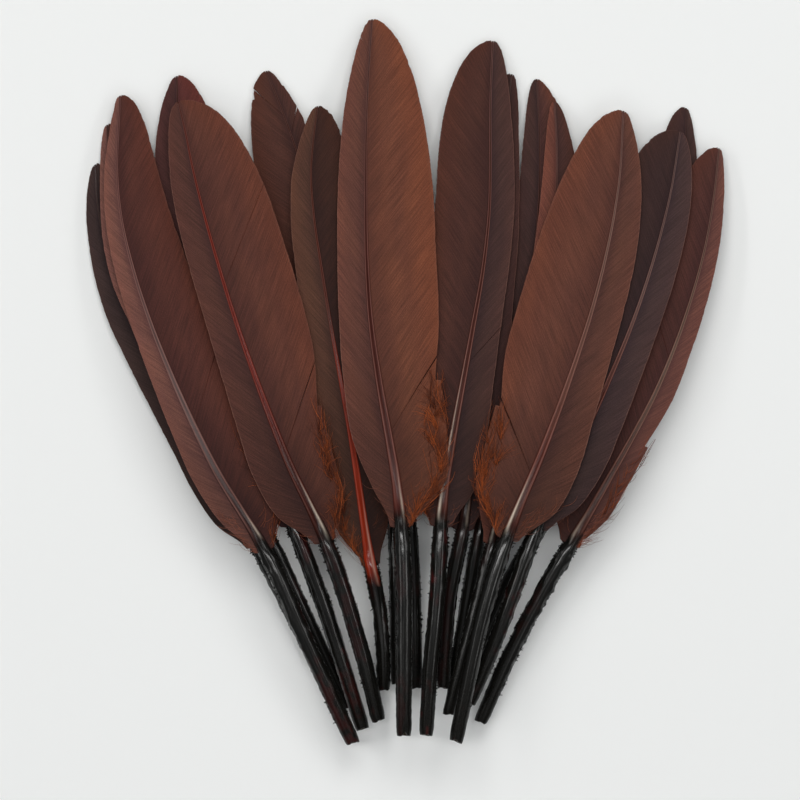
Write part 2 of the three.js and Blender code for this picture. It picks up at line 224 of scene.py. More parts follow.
# Shafts
RING_SIDES = 44
RING_PITCH = 0.8
SHAFT_DEPTH = 1.1  # height of the shaft's section over its width
END_RINGS = np.array([0, 0.15, 0.4, 0.8, 1.3, 1.9, 2.6, 3.3])  # closer rings at the cut end
TORN_REACH = 4.1  # how far the torn edge of the cut end bends the rings behind it
# the bore's rings, from its far end to its mouth: shares of the barrel's length and of the bore
BORE_DEPTHS = np.array([0.9, 0.85, 0.6, 0.3, 0.1, 0.04, 0.015, 0.0])
BORE_WIDTHS = np.array([0.3, 0.9, 0.97, 0.97, 0.97, 0.95, 0.92, 0.9])
CLUMPS = 26  # places on a barrel where torn barbs and dried dye gather
STUBS = 220  # on a barrel with a crust of 1

# Down and other loose barbs
STRAND_SIDES = 3
DOWN_STEPS = 9  # rings along a strand
TRAILING_BARBS = 85  # in a full tuft
SPRAY_BARBS = 230  # in a full tuft
SPRAYS = 13

# Camera, in metres
VIEW_WIDTH = 0.2
CAMERA_DISTANCE = 2.0
SENSOR = 36.0
VIEW_SHIFT = (-0.00128, -0.0043)  # from the middle of the CAD box
VIEW_HEIGHT = 0.008


# ---------------------------------------------------------------- small tools

def linear(colour):
    """sRGB 0-255 to linear RGB."""
    c = np.asarray(colour, float) / 255
    return np.where(c <= 0.04045, c / 12.92, ((c + 0.055) / 1.055) ** 2.4)


def smoothstep(low, high, value):
    t = np.clip((value - low) / (high - low), 0, 1)
    return t * t * (3 - 2 * t)


def blend(a, b, share):
    share = np.asarray(share, float)[..., None]
    return a * (1 - share) + b * share


def curve_through(x, y):
    """A smooth function through points, straight beyond its ends."""
    slopes = np.gradient(y, x)

    def at(q):
        q = np.asarray(q, float)
        i = np.clip(np.searchsorted(x, q, side="right") - 1, 0, len(x) - 2)
        h = x[i + 1] - x[i]
        t = (q - x[i]) / h
        value = (
            (1 + 2 * t) * (1 - t) ** 2 * y[i]
            + t * (1 - t) ** 2 * h * slopes[i]
            + t * t * (3 - 2 * t) * y[i + 1]
            + t * t * (t - 1) * h * slopes[i + 1]
        )
        value = np.where(t < 0, y[0] + slopes[0] * (q - x[0]), value)
        return np.where(t > 1, y[-1] + slopes[-1] * (q - x[-1]), value)

    return at


def ripple(rng, places, cell, wrap=None):
    """Smooth noise from -1 to 1 at places, a list of coordinates, one random value to each cell."""
    places = np.asarray(places, float) / cell
    low = int(np.floor(places.min())) - 1
    values = rng.uniform(-1, 1, int(np.ceil(places.max())) - low + 3)
    i = np.floor(places).astype(int) - low
    t = smoothstep(0, 1, places - np.floor(places))
    return values[i] * (1 - t) + values[i + 1] * t


def ring_noise(rng, rows, cells, columns, sides):
    """Smooth noise from -1 to 1 on a tube: rows x sides, with `columns` random values round it."""
    grid = rng.uniform(-1, 1, (cells + 2, columns))
    r = np.linspace(0, cells, rows)
    c = np.arange(sides) / sides * columns
    i, j = np.floor(r).astype(int), np.floor(c).astype(int)
    u, v = smoothstep(0, 1, r - i)[:, None], smoothstep(0, 1, c - j)[None, :]
    k = (j + 1) % columns
    upper = grid[i][:, j] * (1 - v) + grid[i][:, k] * v
    lower = grid[i + 1][:, j] * (1 - v) + grid[i + 1][:, k] * v
    return upper * (1 - u) + lower * u


class Shells:
    """Collects closed shells, with three values stored at each of their points."""

    def __init__(self):
        self.points, self.faces, self.paint, self.grain, self.wear = [], [], [], [], []
        self.count = 0

    def add(self, points, faces, paint, grain, wear):
        for group in faces:
            self.faces.extend((group + self.count).tolist())
        self.points.append(points)
        self.paint.append(paint)
        self.grain.append(grain)
        self.wear.append(wear)
        self.count += len(points)

    def build(self, name, material):
        mesh = bpy.data.meshes.new(name)
        mesh.from_pydata((np.concatenate(self.points) * MM).tolist(), [], self.faces)
        mesh.polygons.foreach_set("use_smooth", np.ones(len(mesh.polygons), bool))
        paint = np.concatenate(self.paint)
        paint = np.column_stack([paint, np.ones(len(paint))]).clip(0, 1)
        mesh.attributes.new("paint", "FLOAT_COLOR", "POINT").data.foreach_set("color", paint.ravel())
        grain = np.concatenate(self.grain)
        mesh.attributes.new("grain", "FLOAT_VECTOR", "POINT").data.foreach_set("vector", grain.ravel())
        wear = np.concatenate(self.wear)
        mesh.attributes.new("wear", "FLOAT", "POINT").data.foreach_set("value", wear)
        mesh.materials.append(material)
        mesh.update()
        piece = bpy.data.objects.new(name, mesh)
        bpy.context.scene.collection.objects.link(piece)
        return piece


def grid_faces(rows, columns, wrap):
    """Quads over a grid of points, wrapped round its columns or not, wound one way."""
    r = np.arange(rows - 1)[:, None] * columns
    c = np.arange(columns if wrap else columns - 1)[None, :]
    a = r + c
    b = r + (c + 1) % columns
    return np.stack([a, a + columns, b + columns, b], axis=-1).reshape(-1, 4)


def tube_caps(rows, sides):
    first = np.arange(sides)
    return np.stack([first, (rows * sides - 1) - first])


def sheet_faces(rows, columns):
    """Faces of a closed sheet: its top grid of points, then its under grid."""
    top = grid_faces(rows, columns, False)
    under = rows * columns
    faces = [top[:, ::-1], top + under]
    for edge in (
        np.arange(rows) * columns,
        (np.arange(rows) * columns + columns - 1)[::-1],
        np.arange(columns)[::-1],
        np.arange(columns) + (rows - 1) * columns,
    ):
        a, b = edge[:-1], edge[1:]
        faces.append(np.stack([a, b, b + under, a + under], axis=-1))
    return np.concatenate(faces)


# ---------------------------------------------------------------- reading a quill from its solids

def node_points(name):
    data = frame["nodes"][name].data
    points = np.zeros(len(data.vertices) * 3, np.float32)
    data.vertices.foreach_get("co", points)
    return np.unique(points.reshape(-1, 3), axis=0).astype(float) / MM


def sections(points, along, gap=0.2):
    """Splits points into the sections they were lofted through, in order along an axis."""
    place = points @ along
    order = np.argsort(place)
    cuts = np.flatnonzero(np.diff(place[order]) > gap) + 1
    return np.split(points[order], cuts)


class Quill:
    def __init__(self, name):
        self.name = name
        self.look = {**DEFAULTS, **LOOKS[name]}
        self.rng = np.random.default_rng(int(name[-2:]) * 101)
        self.seed = float(int(name[-2:]))
        shaft = node_points(f"{name}_shaft")
        rough = np.linalg.svd(shaft - shaft.mean(0), full_matrices=False)[2][0]
        rough *= np.sign(rough[1])
        parts = sections(shaft, rough, 0.5)
        along = parts[-1].mean(0) - parts[0].mean(0)
        along /= np.linalg.norm(along)
        self.set_axes(along, parts[0].mean(0))
        self.read_shaft(shaft, along)
        self.vanes = {}
        for kind in ("wide", "narrow"):
            self.read_vane(kind, along)
        self.tuft = None
        if f"{name}_down_tuft" in frame["nodes"]:
            self.read_tuft(along)

    def set_axes(self, along, origin):
        """The quill's up is the way its vanes' upper face is from their lower one."""
        across = np.cross(along, (0, 0, 1))
        lifts = []
        for row in sections(node_points(f"{self.name}_wide_vane"), along)[2:-2]:
            row = row[np.argsort(row @ across)]
            for a, b in zip(row[0::2], row[1::2]):
                lifts.append((b - a) * np.sign(b[2] - a[2]))
        up = np.mean(lifts, axis=0)
        self.up = up / np.linalg.norm(up)
        self.right = np.cross(along, self.up)
        self.right /= np.linalg.norm(self.right)
        self.forward = np.cross(self.up, self.right)
        self.origin = origin
        self.axes = np.stack([self.right, self.forward, self.up])

    def local(self, points):
        return (points - self.origin) @ self.axes.T

    def world(self, points):
        return np.asarray(points, float) @ self.axes + self.origin

    def read_shaft(self, shaft, along):
        rows = []
        flat_side = math.cos(math.pi / 8)
        for part in sections(shaft, along):
            part = self.local(part)
            middle = part.mean(0)
            reach = np.hypot(part[:, 0] - middle[0], part[:, 2] - middle[2])
            outer = part[np.argsort(reach)[-8:]]
            radius = np.abs(outer[:, 0] - middle[0]).max() / flat_side
            if not rows:
                inner = part[np.argsort(reach)[:8]]
                self.bore = np.abs(inner[:, 0] - middle[0]).max() / flat_side
            rows.append([middle[1], middle[0], middle[2], radius])
        f, x, h, r = np.array(rows).T
        self.length = f[-1]
        self.x_at, self.h_at, self.r_at = curve_through(f, x), curve_through(f, h), curve_through(f, r)

    def read_vane(self, kind, along):
        rows = []
        for part in sections(node_points(f"{self.name}_{kind}_vane"), along):
            part = self.local(part)
            offset = part[:, 0] - self.x_at(part[:, 1])
            side = np.sign(offset.mean())
            order = np.argsort(np.abs(offset))
            rise = part[order, 2] - self.h_at(part[order, 1])
            out = np.abs(offset[order]).reshape(3, 2).mean(1)
            rise = rise.reshape(3, 2).mean(1)
            rows.append([part[:, 1].mean(), out[0], out[2], rise[0], rise[2]])
        f, inner, outer, seat, hang = np.array(rows).T
        broad = outer - inner > 0.6 * (outer - inner).max()
        sag = np.median(((seat - hang) / (outer ** 2 - inner ** 2))[broad])
        self.base = f[0]
        ends = np.append(f, self.length + 0.25)
        widths = np.append(outer, 0.0)
        squared = curve_through(ends, widths ** 2)
        seat_at = curve_through(f, seat + sag * inner ** 2)
        self.vanes[kind] = dict(
            side=side,
            width=lambda q: np.sqrt(np.maximum(squared(q), 0)) * (q < ends[-1]),
            rise=lambda q, y: seat_at(q) - sag * y * y,
            widest=outer.max(),
        )

    def read_tuft(self, along):
        rows = []
        for part in sections(node_points(f"{self.name}_down_tuft"), along):
            part = self.local(part)
            offset = part[:, 0] - self.x_at(part[:, 1])
            side = np.sign(offset.mean())
            rows.append([part[:, 1].mean(), np.abs(offset).min(), np.abs(offset).max()])
        f, inner, outer = np.array(rows).T
        kind = next(k for k, v in self.vanes.items() if v["side"] == side)
        inner_at, outer_at = curve_through(f, inner), curve_through(f, outer)
        self.tuft = dict(side=side, kind=kind, start=f[0], end=f[-1], inner=inner_at, outer=outer_at)
        bare_width = self.vanes[kind]["width"]

        def width(q):
            covered = (q > f[0]) & (q < f[-1])
            return bare_width(q) + np.where(covered, 0.6 * (outer_at(q) - bare_width(q)), 0)

        self.vanes[kind]["width"] = width

    def surface(self, kind, f, y, lift=0.0):
        """The point of a vane y out from the middle of the shaft."""
        vane = self.vanes[kind]
        x = self.x_at(f) + vane["side"] * y
        h = self.h_at(f) + vane["rise"](f, y) + lift
        return np.stack([x, f, h], axis=-1)

    def share(self, f):
        return (f - self.base) / (self.length - self.base)


def place_piece(quill, shells, ending, node_ending, material):
    """Makes the piece that stands in for one of the quill's CAD nodes."""
    node = f"{quill.name}_{node_ending}"
    piece = shells.build(f"{quill.name}_{ending}", material)
    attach(piece, quill.name)
    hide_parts(node)


# ---------------------------------------------------------------- a vane

def sweep(quill, kind, start):
    """How far a barb leans forward for each mm outwards, by where it leaves the rachis."""
    share = quill.share(start)
    lean = 1.28 if kind == "wide" else 1.5
    opened = 0.35 + (lean - 0.35) * smoothstep(-0.02, 0.2, share)
    return opened + 1.0 * smoothstep(0.78, 1.0, share)


def barb_reach(quill, kind, start, root):
    """How far out each barb gets before it meets the vane's outline."""
    vane = quill.vanes[kind]
    lean = sweep(quill, kind, start)
    low, high = root.copy(), np.full_like(start, vane["widest"] + 1)
    for _ in range(30):
        middle = (low + high) / 2
        inside = vane["width"](start + lean * (middle - root)) > middle
        low = np.where(inside, middle, low)
        high = np.where(inside, high, middle)
    return low


def vane_paint(quill, kind, across, share):
    """Colour over a vane: darker by the rachis and the base, warmer and paler at the edge."""
    if kind == "wide":
        edge_tint, dark_base, rim_strength = np.array([1.2, 1.07, 0.93]), 0.4, 0.12
    else:
        edge_tint, dark_base, rim_strength = np.array([1.22, 1.16, 1.12]), 0.52, 0.35
    root_tint = np.array([0.7, 0.7, 0.78])
    body = linear(quill.look[kind]) * DYE_DEPTH
    colour = body * np.ones(across.shape + (3,))
    colour = blend(colour, body * edge_tint, smoothstep(0.4, 1.0, across))
    colour = blend(colour, body * root_tint, 1 - smoothstep(0.0, 0.42, across))
    colour = colour * (0.6 + 0.4 * smoothstep(0.0, dark_base, share))[..., None]
    return blend(colour, linear(VANE_RIM), rim_strength * smoothstep(0.97, 1.0, across))


def open_splits(quill, kind, start, across, forward, lift):
    """Parts the barbs at the vane's splits. Returns the first row behind each, with the end rows."""
    rows = len(start)
    cuts = {0, rows - 1}
    for side, place, opening, depth in quill.look["splits"]:
        if side != quill.vanes[kind]["side"]:
            continue
        cut = int(round(place * (rows - 1)))
        cuts.add(cut)
        towards_edge = smoothstep(1 - depth, 1.0, across)
        parted = 0.55 * opening * towards_edge * across
        near = np.exp(-np.abs(start - start[cut]) / SPLIT_REACH)[:, None]
        before = (np.arange(rows) < cut)[:, None]
        forward = forward + np.where(before, -parted, 0.35 * parted) * near
        lift = lift + np.where(before, -0.03, 0.05) * near * towards_edge
    return sorted(cuts), forward, lift


def build_vane(quill, kind, material):
    """A closed sheet of barbs, two rows of points to each barb, cut through at the splits."""
    rng, vane = quill.rng, quill.vanes[kind]
    end = quill.length - 0.5
    rows = 2 * int((end - quill.base) / BARB_PITCH) + 1
    start = np.linspace(quill.base, end, rows)
    root = 0.8 * quill.r_at(start)
    reach = barb_reach(quill, kind, start, root)
    frayed = 0.06 * np.abs(ripple(rng, start, 0.9)) + 0.07 * np.abs(ripple(rng, start, 3.4))
    nicks = quill.look["nicks"] * np.maximum(0, ripple(rng, start, 3.1) - 0.7)
    worn_reach = reach - frayed - nicks * smoothstep(0, 8, reach)
    reach = np.maximum(root + 0.5 * (reach - root), worn_reach)
    across = np.broadcast_to(COLUMNS, (rows, len(COLUMNS)))
    out = root[:, None] + (reach - root)[:, None] * across
    lean = sweep(quill, kind, start)[:, None]
    forward = start[:, None] + lean * (out - root[:, None])
    lift = 0.10 * ripple(rng, start, 7.0)[:, None] * across ** 2 * smoothstep(0, 6, out)
    lift = lift + 0.05 * ripple(rng, start, 2.2)[:, None] * across
    cuts, forward, lift = open_splits(quill, kind, start, across, forward, lift)
    fade = smoothstep(0.0, 0.12, across) * (1 - smoothstep(0.9, 1.0, across)) * smoothstep(0.3, 3, out)
    ridge = RIDGE * fade * np.where(np.arange(rows) % 2, 1.0, -1.0)[:, None]
    half = SHEET_THICKNESS / 2 * (1 - 0.6 * smoothstep(0.85, 1.0, across))
    paint = vane_paint(quill, kind, across, quill.share(forward))
    barb = np.stack([
        np.broadcast_to(start[:, None], out.shape),
        out * np.sqrt(1 + lean ** 2),
        np.full(out.shape, quill.seed * 7 + (3 if kind == "wide" else 0)),
    ], axis=-1)
    shells = Shells()
    for first, last in zip(cuts[:-1], cuts[1:]):
        # the row at a split ends one sheet, just short of where it starts the next
        r = np.arange(first, last + 1)
        f, y, z = forward[r].copy(), out[r], lift[r] + ridge[r]
        if last != rows - 1:
            f[-1] = forward[last - 1] + (start[last] - start[last - 1]) * 0.98
        top = quill.surface(kind, f, y, z + half[r])
        under = quill.surface(kind, f, y, z - half[r])
        points = np.concatenate([top.reshape(-1, 3), under.reshape(-1, 3)])
        faces = sheet_faces(len(r), len(COLUMNS))
        if vane["side"] < 0:
            faces = faces[:, ::-1]
        shells.add(
            quill.world(points), [faces],
            np.tile(paint[r].reshape(-1, 3), (2, 1)),
            np.tile(barb[r].reshape(-1, 3), (2, 1)),
            np.tile(across[r].ravel(), 2),
        )
    add_wisps(quill, kind, shells)
    place_piece(quill, shells, f"{kind}_barbs", f"{kind}_vane", material)


# ---------------------------------------------------------------- strands: loose barbs, down, torn stubs

def add_strands(quill, shells, lines, radii, colours, wear=0.0):
    """Thin closed tubes along lines, an array of strands x points x 3 in the quill's own axes."""
    count, steps, _ = lines.shape
    tangent = np.gradient(lines, axis=1)
    tangent /= np.linalg.norm(tangent, axis=2, keepdims=True) + 1e-12
    across = np.cross(tangent, (0.02, 0.03, 1.0))
    across /= np.linalg.norm(across, axis=2, keepdims=True) + 1e-12
    above = np.cross(across, tangent)
    turn = np.arange(STRAND_SIDES) / STRAND_SIDES * 2 * math.pi
    ring = (across[:, :, None] * np.cos(turn)[:, None] + above[:, :, None] * np.sin(turn)[:, None])
    points = lines[:, :, None] + ring * radii[:, :, None, None]
    faces = grid_faces(steps, STRAND_SIDES, True)
    caps = tube_caps(steps, STRAND_SIDES)
    each = steps * STRAND_SIDES
    for k in range(count):
        flat = quill.world(points[k].reshape(-1, 3))
        along = np.repeat(np.arange(steps), STRAND_SIDES)
        grain = np.column_stack([np.full(each, k * 1.7 + quill.seed), along, np.full(each, quill.seed)])
        shells.add(flat, [faces, caps], np.tile(colours[k], (each, 1)), grain.astype(float),
                   np.full(each, wear))


def curled_lines(rng, starts, headings, lengths, curls, lifts, steps=7):
    """Lines in the quill's own axes that curl from a heading: 0 is forward, + is to the right."""
    count = len(starts)
    t = np.linspace(0, 1, steps)
    angle = headings[:, None] + curls[:, None] * t + 0.25 * rng.uniform(-1, 1, (count, 1)) * np.sin(t * 5)
    step = lengths[:, None] / (steps - 1)
    dx = np.cumsum(np.sin(angle) * step, axis=1) - np.sin(angle[:, :1]) * step
    dy = np.cumsum(np.cos(angle) * step, axis=1) - np.cos(angle[:, :1]) * step
    dz = lifts[:, None] * np.sin(t * math.pi * 0.6)
    return starts[:, None] + np.stack([dx, dy, dz], axis=-1)


def tapered(rng, count, steps, thick, thin):
    t = np.linspace(0, 1, steps)
    return (thick + (thin - thick) * t) * rng.uniform(0.75, 1.2, (count, 1))


def add_wisps(quill, kind, shells):
    """Loose barbs about the rounded base of a vane."""
    rng, vane = quill.rng, quill.vanes[kind]
    left, right = quill.look["wisps"]
    count = right if vane["side"] > 0 else left
    if not count:
        return
    share = rng.uniform(0.0, 0.09, count)
    f = quill.base + share * (quill.length - quill.base)
    y = vane["width"](f) * rng.uniform(0.25, 0.9, count)
    starts = quill.surface(kind, f, y, 0.1)
    headings = vane["side"] * rng.uniform(0.7, 1.7, count)
    lengths = rng.uniform(2.0, 6.0, count)
    curls = -vane["side"] * rng.uniform(0.5, 1.7, count)
    lines = curled_lines(rng, starts, headings, lengths, curls, rng.uniform(-0.2, 0.5, count))
    colours = blend(linear(quill.look[kind]) * 1.2, linear(WISP_RUST), rng.uniform(0.0, 0.7, count))
    add_strands(quill, shells, lines, tapered(rng, count, 7, 0.07, 0.025), colours, 0.6)


def rust(bright):
    """Colours of strands of down, from dark, 0, to bright, 1."""
    return blend(linear(RUST_DARK) * np.ones((len(bright), 1)), linear(RUST_BRIGHT), bright)


def add_trailing_barbs(quill, shells):
    """Darker downy barbs that run along the vane's edge."""
    rng, tuft = quill.rng, quill.tuft
    count = int(TRAILING_BARBS * quill.look["down"])
    t = np.linspace(0, 1, DOWN_STEPS)
    first = tuft["start"] + rng.uniform(-0.1, 0.92, count) * (tuft["end"] - tuft["start"])
    reach = np.minimum(rng.uniform(3, 12, count), tuft["end"] + 2.5 - first)
    f = first[:, None] + reach[:, None] * t
    phase = rng.uniform(0, 6, (count, 1))
    waved = rng.uniform(-0.3, 0.3, (count, 1)) * np.sin(t * rng.uniform(2, 7, (count, 1)) + phase)
    across = rng.uniform(-0.9, 0.8, (count, 1)) + rng.uniform(-0.9, 1.1, (count, 1)) * t + waved
    across = np.minimum(across, 1.1)
    held = np.minimum(f, tuft["end"])
    inner, outer = tuft["inner"](held), tuft["outer"](held)
    y = np.maximum(inner + (outer - inner) * across, quill.r_at(f))
    bright = rng.uniform(0, 1, count) ** 2.5
    rise = 0.1 + 0.4 * bright[:, None] + rng.uniform(0.0, 0.4, (count, 1)) * np.sin(t * math.pi * 0.8)
    lines = quill.surface(tuft["kind"], f, y, rise)
    add_strands(quill, shells, lines, tapered(rng, count, DOWN_STEPS, 0.07, 0.03), rust(bright), 0.5)


def add_sprays(quill, shells):
    """Brighter downy barbs that spring in sprays, each from one place near the shaft."""
    rng, tuft = quill.rng, quill.tuft
    side = tuft["side"]
    count = int(SPRAY_BARBS * quill.look["down"])
    spray = rng.integers(0, SPRAYS, count)

    def by_spray(low, high, spread):
        return rng.uniform(low, high, SPRAYS)[spray] + rng.normal(0, spread, count)

    place = np.linspace(-0.05, 0.78, SPRAYS) + rng.uniform(-0.03, 0.03, SPRAYS)
    along = place[spray] + rng.normal(0, 0.012, count)
    f = tuft["start"] + along * (tuft["end"] - tuft["start"])
    inner, outer = tuft["inner"](f), tuft["outer"](f)
    y = np.maximum(inner + (outer - inner) * by_spray(-0.9, 0.3, 0.08), quill.r_at(f))
    starts = quill.surface(tuft["kind"], f, y, rng.uniform(0.2, 0.6, count))
    headings = side * by_spray(-0.15, 0.6, 0.32)
    curls = side * by_spray(-0.9, 0.7, 0.35)
    lengths = rng.uniform(3.5, 8.0, SPRAYS)[spray] * rng.uniform(0.5, 1.1, count)
    lifts = rng.uniform(0, 0.7, count)
    lines = curled_lines(rng, starts, headings, lengths, curls, lifts, DOWN_STEPS)
    edge = tuft["outer"](np.minimum(lines[..., 1], tuft["end"])) + 0.7
    limit = quill.x_at(lines[..., 1]) + side * edge
    lines[..., 0] = np.where((lines[..., 0] - limit) * side > 0, limit, lines[..., 0])
    bright = np.clip(by_spray(0.0, 0.75, 0.18), 0, 1)
    add_strands(quill, shells, lines, tapered(rng, count, DOWN_STEPS, 0.048, 0.02), rust(bright), 0.5)


def build_down(quill, material):
    shells = Shells()
    add_trailing_barbs(quill, shells)
    add_sprays(quill, shells)
    place_piece(quill, shells, "down", "down_tuft", material)


# ---------------------------------------------------------------- a shaft

def shaft_stations(quill):
    rest = np.arange(TORN_REACH, quill.length - 0.4, RING_PITCH)
    return np.concatenate([END_RINGS, rest, [quill.length]])


def shaft_paint(quill, f, turn):
    """Black dye on the barrel; above it the rachis, with painted shade in its groove and painted
    highlights: pale shoulder lines and a streak at its foot.
    """
    look, rng = quill.look, quill.rng
    share, rows, sides = quill.share(f), len(f), len(turn)
    cos, upper = np.cos(turn)[None], (np.sin(turn) > 0)[None]
    places = [place for place, _ in look["rachis"]]
    tints = np.array([linear(tint) for _, tint in look["rachis"]]) * DYE_DEPTH
    rachis = np.stack([np.interp(share, places, tints[:, i]) for i in range(3)], axis=-1)
    # painted shade: the rachis a little darker all round, and darker still down the middle of its top, in
    # the groove
    rachis = rachis[:, None] * (0.85 - 0.35 * np.exp(-((cos / 0.25) ** 2)) * upper)[..., None]
    # painted highlights: pale lines on the shoulders beside the groove
    shoulders = look["shoulders"] * np.exp(-(((np.abs(cos) - 0.58) / 0.17) ** 2)) * upper
    shoulders = shoulders * smoothstep(0.0, 0.1, share)[:, None]
    rachis = blend(rachis, linear(SHOULDER_HIGHLIGHT_PINK), shoulders)
    # painted highlight: a cream streak at the foot of the rachis, on the side that gleam gives
    side, strength, reach = look["gleam"]
    left = (1 - smoothstep(0.15 * reach, reach, share))[:, None]
    streak = strength * left * np.exp(-(((cos - 0.45 * side) / (0.1 + 0.1 * left)) ** 2)) * upper
    rachis = blend(rachis, linear(CREAM_HIGHLIGHT), streak)
    wander = 0.012 * ring_noise(rng, rows, 40, 7, sides) + 0.008 * ring_noise(rng, rows, 120, 11, sides)
    dyed = smoothstep(look["dye_end"] - 0.015, look["dye_end"] + 0.03, share[:, None] + wander)
    colour = blend(linear(BARREL_BLACK) * np.ones((rows, sides, 1)), rachis, dyed)
    patch = ring_noise(rng, rows, 14, 3, sides) + 0.7 * ring_noise(rng, rows, 90, 13, sides)
    red = look["red"] * smoothstep(0.25, 0.95, patch) * (1 - dyed)
    return blend(colour, linear(BARREL_RED), red * 0.8)


def shaft_section(quill, share, cos, sin):
    """The shaft's outline at each ring: a tube below, squarer and grooved on top above."""
    ridged = smoothstep(-0.04, 0.3, share)[:, None]
    power = 2 / (2.05 + 0.75 * ridged)
    x = np.sign(cos) * np.abs(cos) ** power
    h = SHAFT_DEPTH * np.sign(sin) * np.abs(sin) ** power
    groove = quill.look["groove"] * 0.26 * ridged * np.exp(-((cos / 0.3) ** 2))
    return x, h - np.where(sin > 0, groove, 0), ridged


def build_shaft(quill, material):
    """One closed skin: the bore from its far end to the mouth, then the outside up to the tip."""
    rng, look = quill.rng, quill.look
    f = shaft_stations(quill)
    turn = np.arange(RING_SIDES) / RING_SIDES * 2 * math.pi
    rows, sides = len(f), RING_SIDES
    cos, sin = np.cos(turn)[None], np.sin(turn)[None]
    share = quill.share(f)

    # the CAD's steps in radius, smoothed
    window = np.linspace(-7, 7, 15) * smoothstep(0, 12, f)[:, None]
    nearby = np.clip(f[:, None] + window, 0, quill.length)
    radius = np.maximum(np.minimum(quill.r_at(nearby).mean(1), quill.r_at(f) + 0.25), 0.12)
    x, h, ridged = shaft_section(quill, share, cos, sin)

    # dried scraps and torn barbs along the barrel's sides, and a ring of them at its top
    facets = 0.006 * np.cos(7 * turn + rng.uniform(0, 6)) + 0.004 * np.cos(12 * turn + rng.uniform(0, 6))
    bare = (1 - smoothstep(0.0, 0.05, share))[:, None]
    off_the_end = smoothstep(0.1, 0.9, 1 + share * 1.5)[:, None]
    crusted = look["crust"] * bare * smoothstep(0.4, 0.98, np.abs(cos)) * off_the_end
    lumps = np.maximum(0, ring_noise(rng, rows, rows // 2, 17, sides)) * 0.2
    lumps += np.maximum(0, ring_noise(rng, rows, rows, 31, sides)) * 0.3
    at_top = np.exp(-((share + 0.035) / 0.02) ** 2)[:, None] * 0.12 * look["crust"]
    lumpy = 1 + facets[None] * (1 - ridged) + (crusted * 0.8 + at_top) * lumps
    lumpy = lumpy + 0.004 * ring_noise(rng, rows, rows // 3, 9, sides)
    rounded = 0.84 + 0.16 * np.sqrt(np.clip(f / 2.6, 0, 1))
    scale = (radius * rounded)[:, None] * lumpy

    # the torn, notched edge of the cut end
    torn = 0.2 * ring_noise(rng, 2, 1, 6, sides)[0] + 0.1 * ring_noise(rng, 2, 1, 17, sides)[0]
    notch = np.exp(-((turn - math.pi / 2 - rng.uniform(-0.3, 0.3)) / 0.35) ** 2)
    torn = torn + look["notch"] * notch + 0.4

    def ragged(places):
        return places[:, None] + torn[None] * np.clip(1 - places / TORN_REACH, 0, 1)[:, None]

    outside = [quill.x_at(f)[:, None] + x * scale, ragged(f), quill.h_at(f)[:, None] + h * scale]
    depth = BORE_DEPTHS * quill.base
    bore = (BORE_WIDTHS * quill.bore)[:, None]
    inside = [
        quill.x_at(depth)[:, None] + cos * bore,
        ragged(depth),
        quill.h_at(depth)[:, None] + SHAFT_DEPTH * sin * bore,
    ]
    points = np.concatenate([np.stack(inside, axis=-1), np.stack(outside, axis=-1)])
    count = len(points)
    faces = [grid_faces(count, sides, True), tube_caps(count, sides)]

    bore_paint = np.tile(linear(BORE_BROWN), (len(depth), sides, 1))
    paint = np.concatenate([bore_paint, shaft_paint(quill, f, turn)])
    grain = np.stack([
        np.concatenate([depth, f])[:, None] * np.ones((1, sides)),
        2 * cos * np.ones((count, 1)),
        2 * sin + quill.seed * 9 * np.ones((count, 1)),
    ], axis=-1)
    handled = (1 - smoothstep(0, 0.65, f / quill.base))[:, None]
    on_rachis = smoothstep(-0.04, 0.05, share)[:, None]
    wear = np.maximum(handled, crusted * 0.7) - on_rachis
    wear = np.concatenate([np.ones((len(depth), sides)), wear])
    shells = Shells()
    shells.add(quill.world(points.reshape(-1, 3)), faces, paint.reshape(-1, 3), grain.reshape(-1, 3),
               wear.ravel())
    add_stubs(quill, shells)
    place_piece(quill, shells, "keratin", "shaft", material)


def add_stubs(quill, shells):
    """Torn-off barb stumps and dried scraps along both sides of the barrel."""
    rng = quill.rng
    count = int(STUBS * quill.look["crust"])
    if not count:
        return
    clumps = quill.base * (1.01 - 0.85 * rng.uniform(0, 1, CLUMPS) ** 1.4)
    clump_sides = np.where(rng.uniform(0, 1, CLUMPS) < 0.5, -1.0, 1.0)
    chosen = rng.integers(0, CLUMPS, count)
    side = clump_sides[chosen]
    f = clumps[chosen] + rng.normal(0, 1.1, count)
    up = rng.uniform(-0.3, 0.6, count)
    radius = quill.r_at(f)
    starts = np.stack(
        [quill.x_at(f) + side * radius * 0.93, f, quill.h_at(f) + radius * up], axis=-1
    )
    headings = side * rng.uniform(0.5, 1.9, count)
    lengths = rng.uniform(0.2, 0.85, count) * rng.uniform(0.5, 1.0, count)
    lines = curled_lines(rng, starts, headings, lengths, side * rng.uniform(-1.5, 1.5, count),
                         rng.uniform(-0.1, 0.35, count), steps=4)
    colours = linear(BARREL_BLACK) * rng.uniform(0.7, 1.8, (count, 1))
    add_strands(quill, shells, lines, tapered(rng, count, 4, 0.2, 0.1), colours, 1.0)


# ---------------------------------------------------------------- materials

